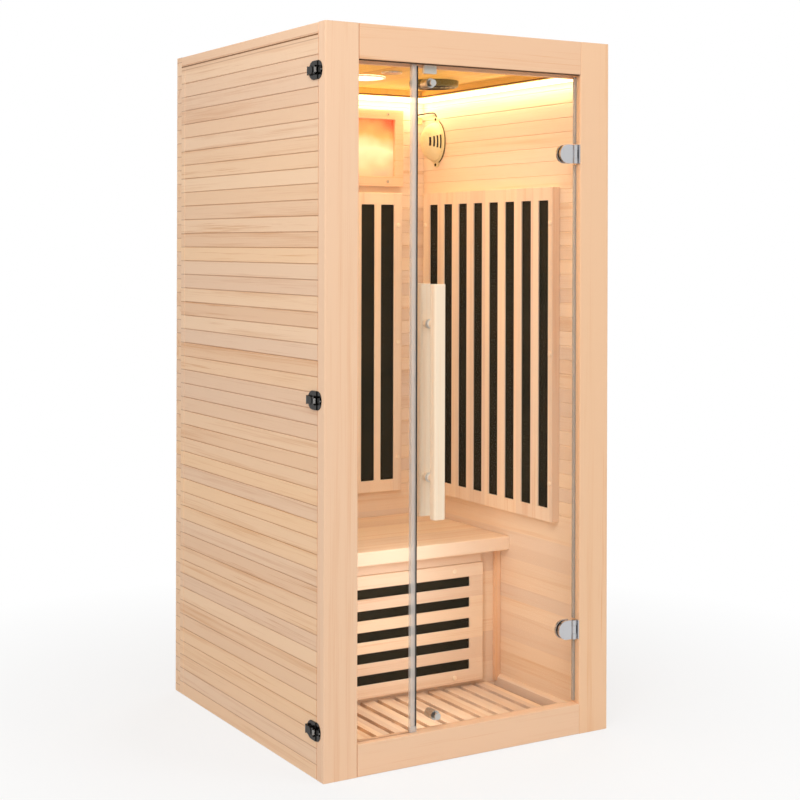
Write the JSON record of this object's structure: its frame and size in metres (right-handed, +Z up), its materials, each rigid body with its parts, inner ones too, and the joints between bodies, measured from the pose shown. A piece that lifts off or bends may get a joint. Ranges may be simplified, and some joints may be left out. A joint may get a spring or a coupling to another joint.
{
  "type": "infrared sauna cabin",
  "caption": "Upright wooden infrared sauna cabin with a glass front, hinged glass door, bench, slatted heater guards, cove lighting and twist latches on its wall joints.",
  "frame": {"origin": "on the ground under the middle of the cabin, on the underside of the floor base", "axes": "+Z up, -Y towards the glass front, +X to the right seen from the front"},
  "size_m": [0.9146, 0.977, 1.9],
  "materials": {
    "boards": "V-grooved pale softwood boards, satin",
    "lining": "pale softwood boards, bare",
    "frame_wood": "planed pale softwood, satin, rounded edges",
    "bench_wood": "planed pale softwood, bare",
    "guard_wood": "planed slats with eased edges",
    "floor_wood": "bare slats",
    "handle_wood": "turned and sanded smooth",
    "glass": "clear toughened glass, polished edges",
    "seal": "clear vinyl",
    "chrome": "dark polished chrome",
    "black_plastic": "fine texture",
    "white_plastic": "satin moulding",
    "heater": "dark carbon film on board",
    "glow": "opal diffuser, lit from behind",
    "colour_lens": "tinted translucent sheet, lit from behind",
    "speaker": "perforated grille, matt"
  },
  "bodies": {
    "cabin": {"back_heater_element": "heater", "back_heater_guard": "guard_wood", "back_wall_cladding": "boards", "back_wall_lining": "lining", "bench_back_cleat": "bench_wood", "bench_front": "bench_wood", "bench_seat": "bench_wood", "calf_heater_element": "heater", "calf_heater_guard": "guard_wood", "ceiling_lamp": "glow", "ceiling_panel": "lining", "colour_panel_frame": "frame_wood", "colour_panel_lens": "colour_lens", "control_box": "black_plastic", "fixed_glass": "glass", "fixed_glass_seal": "seal", "floor_base": "floor_wood", "floor_duckboard": "floor_wood", "front_left_post": "frame_wood", "front_right_post": "frame_wood", "header_rail": "frame_wood", "ioniser": "white_plastic", "ioniser_lead": "white_plastic", "led_strip": "glow", "left_heater_element": "heater", "left_heater_guard": "guard_wood", "left_lower_latch_base": "chrome", "left_middle_latch_base": "chrome", "left_speaker": "speaker", "left_upper_latch_base": "chrome", "left_wall_cladding": "boards", "left_wall_lining": "lining", "lower_hinge_leaf": "chrome", "magnet_catch": "white_plastic", "right_heater_element": "heater", "right_heater_guard": "guard_wood", "right_lower_latch_base": "chrome", "right_middle_latch_base": "chrome", "right_speaker": "speaker", "right_upper_latch_base": "chrome", "right_wall_cladding": "boards", "right_wall_lining": "lining", "roof_rim": "frame_wood", "sill_rail": "frame_wood", "upper_hinge_leaf": "chrome"},
    "door": {"door_glass": "glass", "inner_handle": "handle_wood", "lower_door_stud": "chrome", "lower_hinge_backplate": "chrome", "lower_hinge_clamp": "chrome", "outer_handle": "handle_wood", "upper_door_stud": "chrome", "upper_hinge_backplate": "chrome", "upper_hinge_clamp": "chrome"},
    "left_lower_latch_turn": {"left_lower_latch_turn": "chrome"},
    "left_middle_latch_turn": {"left_middle_latch_turn": "chrome"},
    "left_upper_latch_turn": {"left_upper_latch_turn": "chrome"},
    "right_lower_latch_turn": {"right_lower_latch_turn": "chrome"},
    "right_middle_latch_turn": {"right_middle_latch_turn": "chrome"},
    "right_upper_latch_turn": {"right_upper_latch_turn": "chrome"}
  },
  "joints": [
    {"name": "door_hinge", "type": "hinge", "parent": "cabin", "child": "door", "pos_m": [0.3378, -0.4645, 0.946], "axis": [0, 0, 1], "range_deg": [0, 105]},
    {"name": "left_lower_latch_twist", "type": "hinge", "parent": "cabin", "child": "left_lower_latch_turn", "pos_m": [-0.445, -0.4167, 0.12], "axis": [-1, 0, 0], "range_deg": [0, 180]},
    {"name": "left_middle_latch_twist", "type": "hinge", "parent": "cabin", "child": "left_middle_latch_turn", "pos_m": [-0.445, -0.4167, 0.95], "axis": [-1, 0, 0], "range_deg": [0, 180]},
    {"name": "left_upper_latch_twist", "type": "hinge", "parent": "cabin", "child": "left_upper_latch_turn", "pos_m": [-0.445, -0.4167, 1.78], "axis": [-1, 0, 0], "range_deg": [0, 180]},
    {"name": "right_lower_latch_twist", "type": "hinge", "parent": "cabin", "child": "right_lower_latch_turn", "pos_m": [0.445, -0.4167, 0.12], "axis": [1, 0, 0], "range_deg": [0, 180]},
    {"name": "right_middle_latch_twist", "type": "hinge", "parent": "cabin", "child": "right_middle_latch_turn", "pos_m": [0.445, -0.4167, 0.95], "axis": [1, 0, 0], "range_deg": [0, 180]},
    {"name": "right_upper_latch_twist", "type": "hinge", "parent": "cabin", "child": "right_upper_latch_turn", "pos_m": [0.445, -0.4167, 1.78], "axis": [1, 0, 0], "range_deg": [0, 180]}
  ]
}
